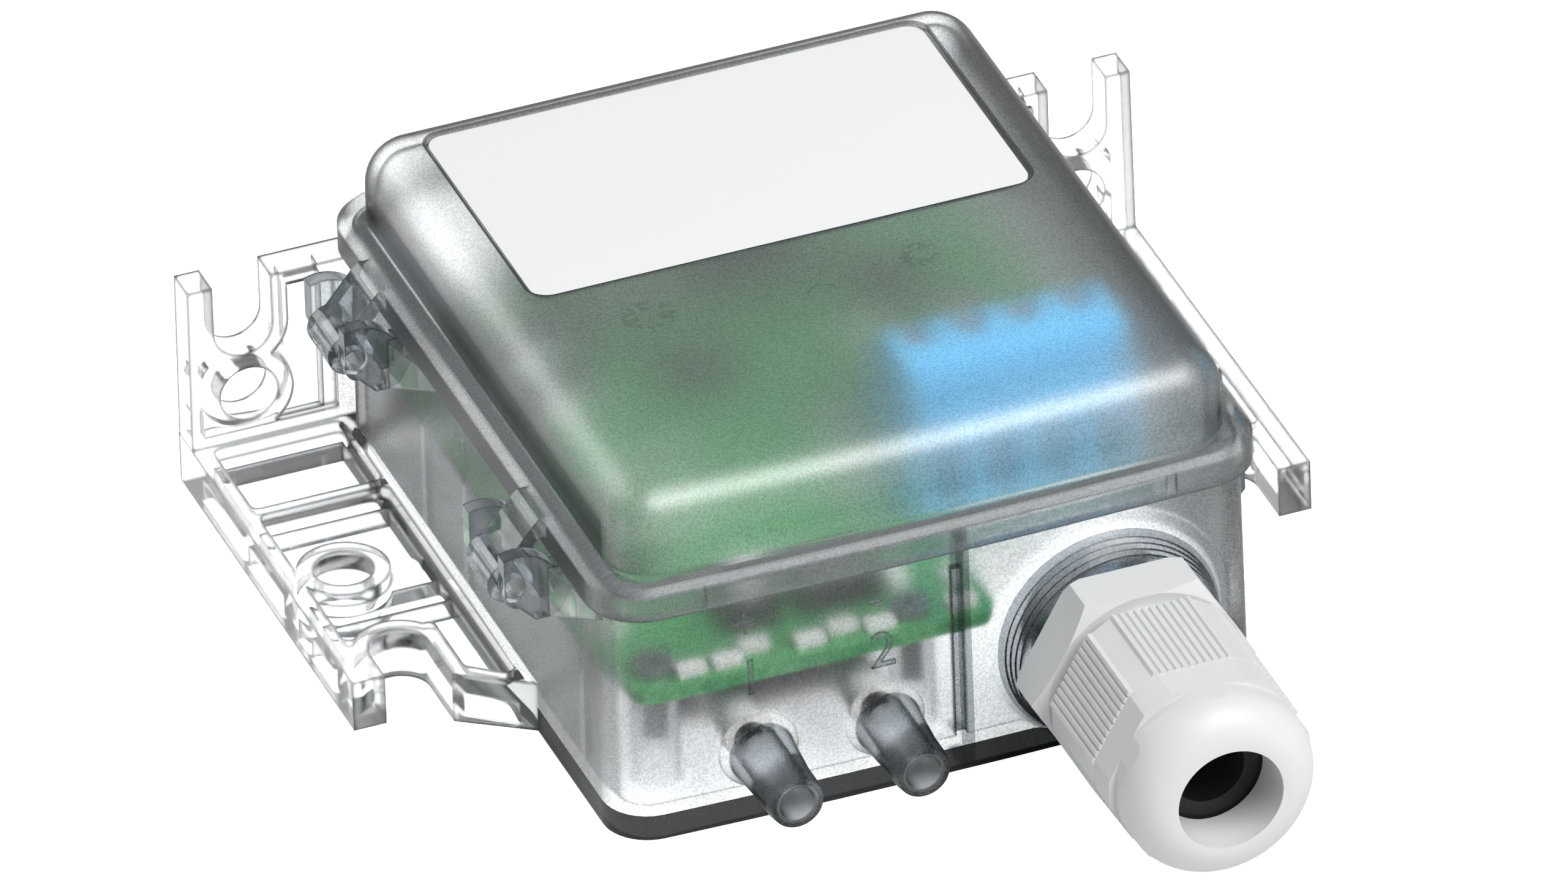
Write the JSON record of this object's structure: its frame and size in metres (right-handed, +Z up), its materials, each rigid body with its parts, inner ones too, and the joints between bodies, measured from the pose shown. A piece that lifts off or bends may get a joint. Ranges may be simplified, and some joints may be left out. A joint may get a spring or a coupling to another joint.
{
  "type": "differential pressure transmitter",
  "caption": "Clear box pressure transmitter with hinged lid, hose spigots, a cable gland and slotted flanges.",
  "frame": {"origin": "centre of the housing's underside, midway between its side walls, on the plane it stands on", "axes": "+X to the right seen from the spigots, +Y to the rear wall, +Z up out of the lid"},
  "size_m": [0.1082, 0.12, 0.0418],
  "materials": {
    "smoke_clear": "satin",
    "smoke_clear_cover": "satin",
    "white_label": "matte",
    "black_rubber": "matte",
    "green_board": "satin",
    "zinc_steel": "satin",
    "black_plastic": "matte",
    "silicone_tube": "matte",
    "blue_plastic": "satin",
    "tinned_brass": "satin",
    "bare_aluminium": "satin",
    "tan_ceramic": "matte",
    "white_plastic": "satin",
    "pale_grey_plastic": "satin"
  },
  "bodies": {
    "housing": {"base_housing": "smoke_clear", "cover_gasket": "black_rubber", "circuit_board": "green_board", "board_screws": "zinc_steel", "pressure_sensor": "black_plastic", "high_side_hose": "silicone_tube", "low_side_hose": "silicone_tube", "terminal_block": "blue_plastic", "wire_clamps": "tinned_brass", "microcontroller": "black_plastic", "signal_amplifier": "black_plastic", "voltage_regulator": "black_plastic", "filter_capacitors": "bare_aluminium", "small_parts": "tan_ceramic", "range_switch": "black_plastic", "zero_switch": "black_plastic", "status_led": "white_plastic", "offset_trimmer": "blue_plastic", "service_header": "black_plastic", "gland_body": "pale_grey_plastic", "gland_washer": "black_rubber", "gland_seal": "black_rubber"},
    "lid": {"cover": "smoke_clear_cover", "label": "white_label"},
    "cap_nut": {"gland_nut": "pale_grey_plastic"},
    "zero_push": {"zero_button": "white_plastic"},
    "trim_rotor": {"trimmer_rotor": "tinned_brass"},
    "clamp_screw_1": {"terminal_screw_1": "zinc_steel"},
    "clamp_screw_2": {"terminal_screw_2": "zinc_steel"},
    "clamp_screw_3": {"terminal_screw_3": "zinc_steel"},
    "clamp_screw_4": {"terminal_screw_4": "zinc_steel"},
    "range_knob_1": {"range_slider_1": "white_plastic"},
    "range_knob_2": {"range_slider_2": "white_plastic"},
    "range_knob_3": {"range_slider_3": "white_plastic"}
  },
  "joints": [
    {"name": "cover_hinge", "type": "hinge", "parent": "housing", "child": "lid", "pos_m": [-0.0416, 0, 0.0251], "axis": [0, -1, 0], "range_deg": [0, 105]},
    {"name": "gland_nut_turn", "type": "hinge", "parent": "housing", "child": "cap_nut", "pos_m": [0.0186, -0.0654, 0.0135], "axis": [0, -1, 0], "continuous": true},
    {"name": "zero_button_press", "type": "slide", "parent": "housing", "child": "zero_push", "axis": [0, 0, -1], "range_m": [0, 0.0003], "stiffness_N_per_m": 2000, "springref_m": -0.0002},
    {"name": "offset_trim_turn", "type": "hinge", "parent": "housing", "child": "trim_rotor", "pos_m": [-0.026, -0.014, 0.0205], "axis": [0, 0, 1], "range_deg": [-135, 135]},
    {"name": "terminal_screw_1_turn", "type": "hinge", "parent": "housing", "child": "clamp_screw_1", "pos_m": [0.0094, -0.0119, 0.029], "axis": [0, 0, 1], "continuous": true},
    {"name": "terminal_screw_2_turn", "type": "hinge", "parent": "housing", "child": "clamp_screw_2", "pos_m": [0.0154, -0.0119, 0.029], "axis": [0, 0, 1], "continuous": true},
    {"name": "terminal_screw_3_turn", "type": "hinge", "parent": "housing", "child": "clamp_screw_3", "pos_m": [0.0214, -0.0119, 0.029], "axis": [0, 0, 1], "continuous": true},
    {"name": "terminal_screw_4_turn", "type": "hinge", "parent": "housing", "child": "clamp_screw_4", "pos_m": [0.0274, -0.0119, 0.029], "axis": [0, 0, 1], "continuous": true},
    {"name": "range_slider_1_slide", "type": "slide", "parent": "housing", "child": "range_knob_1", "axis": [0, 1, 0], "range_m": [0, 0.0016]},
    {"name": "range_slider_2_slide", "type": "slide", "parent": "housing", "child": "range_knob_2", "axis": [0, 1, 0], "range_m": [0, 0.0016]},
    {"name": "range_slider_3_slide", "type": "slide", "parent": "housing", "child": "range_knob_3", "axis": [0, 1, 0], "range_m": [0, 0.0016]}
  ]
}
